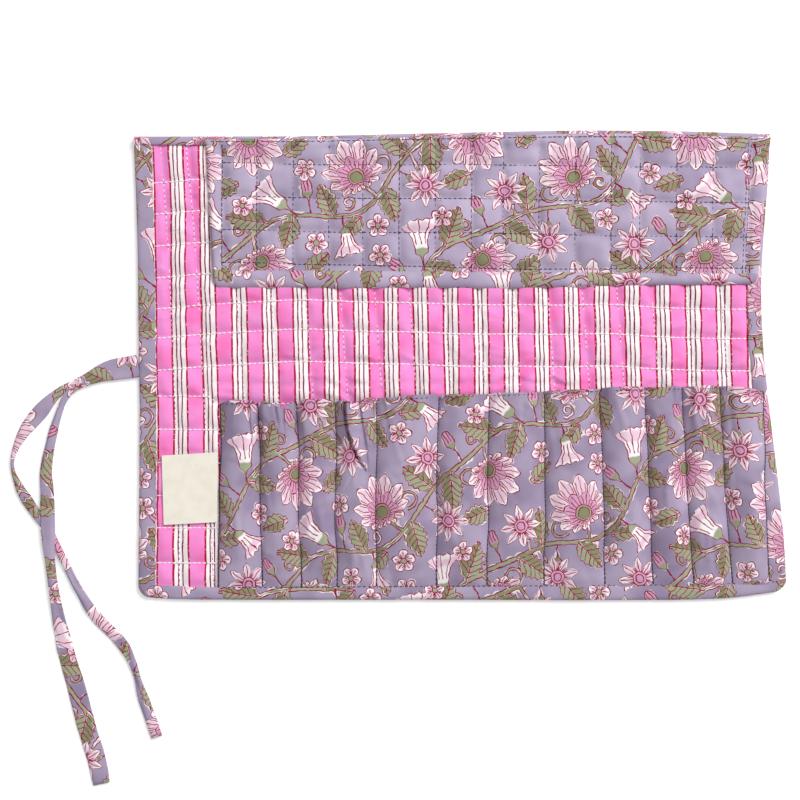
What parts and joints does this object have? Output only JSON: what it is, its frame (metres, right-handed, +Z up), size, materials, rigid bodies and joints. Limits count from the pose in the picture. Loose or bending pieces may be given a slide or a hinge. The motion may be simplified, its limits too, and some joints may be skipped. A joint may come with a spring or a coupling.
{
  "type": "makeup brush roll",
  "caption": "Quilted cotton makeup roll lying open: striped lining, a row of brush pockets, a flap that folds over the brush heads and a tie with two tails.",
  "frame": {"origin": "centre of the open panel's outline, on the table it lies on; the tie's tails aren't counted", "axes": "+X along the row of pockets away from the tie, +Y from the pockets to the flap's seam, +Z up out of the lining"},
  "size_m": [0.423, 0.3512, 0.0089],
  "materials": {
    "cover_print": "matt printed cotton, lavender ground",
    "wadding": "matt cotton batting",
    "lining_stripe": "matt striped cotton, quilted",
    "pocket_print": "matt printed cotton, lavender ground",
    "flap_print": "matt printed cotton, quilted",
    "label_cotton": "matt cream cotton, bare",
    "tie_print": "matt printed cotton, folded strip"
  },
  "bodies": {
    "strip_00": {"cover_00": "cover_print", "wadding_00": "wadding", "lining_00": "lining_stripe", "label": "label_cotton", "tie_under": "tie_print", "tie_over": "tie_print"},
    "strip_01": {"cover_01": "cover_print", "wadding_01": "wadding", "lining_01": "lining_stripe", "pocket_01": "pocket_print"},
    "strip_02": {"cover_02": "cover_print", "wadding_02": "wadding", "lining_02": "lining_stripe", "pocket_02": "pocket_print"},
    "strip_03": {"cover_03": "cover_print", "wadding_03": "wadding", "lining_03": "lining_stripe", "pocket_03": "pocket_print"},
    "strip_04": {"cover_04": "cover_print", "wadding_04": "wadding", "lining_04": "lining_stripe", "pocket_04": "pocket_print"},
    "strip_05": {"cover_05": "cover_print", "wadding_05": "wadding", "lining_05": "lining_stripe", "pocket_05": "pocket_print"},
    "strip_06": {"cover_06": "cover_print", "wadding_06": "wadding", "lining_06": "lining_stripe", "pocket_06": "pocket_print"},
    "strip_07": {"cover_07": "cover_print", "wadding_07": "wadding", "lining_07": "lining_stripe", "pocket_07": "pocket_print"},
    "strip_08": {"cover_08": "cover_print", "wadding_08": "wadding", "lining_08": "lining_stripe", "pocket_08": "pocket_print"},
    "strip_09": {"cover_09": "cover_print", "wadding_09": "wadding", "lining_09": "lining_stripe", "pocket_09": "pocket_print"},
    "strip_10": {"cover_10": "cover_print", "wadding_10": "wadding", "lining_10": "lining_stripe", "pocket_10": "pocket_print"},
    "flap_00": {"flap_00": "flap_print"},
    "flap_01": {"flap_01": "flap_print"},
    "flap_02": {"flap_02": "flap_print"},
    "flap_03": {"flap_03": "flap_print"},
    "flap_04": {"flap_04": "flap_print"},
    "flap_05": {"flap_05": "flap_print"},
    "flap_06": {"flap_06": "flap_print"},
    "flap_07": {"flap_07": "flap_print"},
    "flap_08": {"flap_08": "flap_print"},
    "flap_09": {"flap_09": "flap_print"},
    "flap_10": {"flap_10": "flap_print"}
  },
  "joints": [
    {"name": "roll_01", "type": "hinge", "parent": "strip_01", "child": "strip_00", "pos_m": [-0.1305, 0, 0.0071], "axis": [0, 1, 0], "range_deg": [0, 57.2]},
    {"name": "roll_02", "type": "hinge", "parent": "strip_02", "child": "strip_01", "pos_m": [-0.087, 0, 0.0071], "axis": [0, 1, 0], "range_deg": [0, 59.6]},
    {"name": "roll_03", "type": "hinge", "parent": "strip_03", "child": "strip_02", "pos_m": [-0.044, 0, 0.0071], "axis": [0, 1, 0], "range_deg": [0, 54.3]},
    {"name": "roll_04", "type": "hinge", "parent": "strip_04", "child": "strip_03", "pos_m": [-0.0135, 0, 0.0071], "axis": [0, 1, 0], "range_deg": [0, 45.6]},
    {"name": "roll_05", "type": "hinge", "parent": "strip_04", "child": "strip_05", "pos_m": [0.014, 0, 0.0071], "axis": [0, -1, 0], "range_deg": [0, 48]},
    {"name": "roll_06", "type": "hinge", "parent": "strip_05", "child": "strip_06", "pos_m": [0.044, 0, 0.0071], "axis": [0, -1, 0], "range_deg": [0, 55.7]},
    {"name": "roll_07", "type": "hinge", "parent": "strip_06", "child": "strip_07", "pos_m": [0.076, 0, 0.0071], "axis": [0, -1, 0], "range_deg": [0, 55.7]},
    {"name": "roll_08", "type": "hinge", "parent": "strip_07", "child": "strip_08", "pos_m": [0.101, 0, 0.0071], "axis": [0, -1, 0], "range_deg": [0, 49.5]},
    {"name": "roll_09", "type": "hinge", "parent": "strip_08", "child": "strip_09", "pos_m": [0.122, 0, 0.0071], "axis": [0, -1, 0], "range_deg": [0, 49.5]},
    {"name": "roll_10", "type": "hinge", "parent": "strip_09", "child": "strip_10", "pos_m": [0.143, 0, 0.0071], "axis": [0, -1, 0], "range_deg": [0, 70.1]},
    {"name": "flap_turn_00", "type": "hinge", "parent": "strip_00", "child": "flap_00", "pos_m": [-0.135, 0.12, 0.0054], "axis": [1, 0, 0], "range_deg": [-180, 0]},
    {"name": "flap_turn_01", "type": "hinge", "parent": "strip_01", "child": "flap_01", "pos_m": [-0.10875, 0.12, 0.0054], "axis": [1, 0, 0], "range_deg": [-180, 0]},
    {"name": "flap_turn_02", "type": "hinge", "parent": "strip_02", "child": "flap_02", "pos_m": [-0.0655, 0.12, 0.0054], "axis": [1, 0, 0], "range_deg": [-180, 0]},
    {"name": "flap_turn_03", "type": "hinge", "parent": "strip_03", "child": "flap_03", "pos_m": [-0.02875, 0.12, 0.0054], "axis": [1, 0, 0], "range_deg": [-180, 0]},
    {"name": "flap_turn_04", "type": "hinge", "parent": "strip_04", "child": "flap_04", "pos_m": [0.00025, 0.12, 0.0054], "axis": [1, 0, 0], "range_deg": [-180, 0]},
    {"name": "flap_turn_05", "type": "hinge", "parent": "strip_05", "child": "flap_05", "pos_m": [0.029, 0.12, 0.0054], "axis": [1, 0, 0], "range_deg": [-180, 0]},
    {"name": "flap_turn_06", "type": "hinge", "parent": "strip_06", "child": "flap_06", "pos_m": [0.06, 0.12, 0.0054], "axis": [1, 0, 0], "range_deg": [-180, 0]},
    {"name": "flap_turn_07", "type": "hinge", "parent": "strip_07", "child": "flap_07", "pos_m": [0.0885, 0.12, 0.0054], "axis": [1, 0, 0], "range_deg": [-180, 0]},
    {"name": "flap_turn_08", "type": "hinge", "parent": "strip_08", "child": "flap_08", "pos_m": [0.1115, 0.12, 0.0054], "axis": [1, 0, 0], "range_deg": [-180, 0]},
    {"name": "flap_turn_09", "type": "hinge", "parent": "strip_09", "child": "flap_09", "pos_m": [0.1325, 0.12, 0.0054], "axis": [1, 0, 0], "range_deg": [-180, 0]},
    {"name": "flap_turn_10", "type": "hinge", "parent": "strip_10", "child": "flap_10", "pos_m": [0.159, 0.12, 0.0054], "axis": [1, 0, 0], "range_deg": [-180, 0]}
  ],
  "couplings": [
    {"joint": "roll_01", "follows": "roll_05", "ratio": 1.19},
    {"joint": "roll_02", "follows": "roll_05", "ratio": 1.24},
    {"joint": "roll_03", "follows": "roll_05", "ratio": 1.13},
    {"joint": "roll_04", "follows": "roll_05", "ratio": 0.95},
    {"joint": "roll_06", "follows": "roll_05", "ratio": 1.16},
    {"joint": "roll_07", "follows": "roll_05", "ratio": 1.16},
    {"joint": "roll_08", "follows": "roll_05", "ratio": 1.03},
    {"joint": "roll_09", "follows": "roll_05", "ratio": 1.03},
    {"joint": "roll_10", "follows": "roll_05", "ratio": 1.46},
    {"joint": "flap_turn_00", "follows": "flap_turn_04", "ratio": 1},
    {"joint": "flap_turn_01", "follows": "flap_turn_04", "ratio": 1},
    {"joint": "flap_turn_02", "follows": "flap_turn_04", "ratio": 1},
    {"joint": "flap_turn_03", "follows": "flap_turn_04", "ratio": 1},
    {"joint": "flap_turn_05", "follows": "flap_turn_04", "ratio": 1},
    {"joint": "flap_turn_06", "follows": "flap_turn_04", "ratio": 1},
    {"joint": "flap_turn_07", "follows": "flap_turn_04", "ratio": 1},
    {"joint": "flap_turn_08", "follows": "flap_turn_04", "ratio": 1},
    {"joint": "flap_turn_09", "follows": "flap_turn_04", "ratio": 1},
    {"joint": "flap_turn_10", "follows": "flap_turn_04", "ratio": 1}
  ]
}
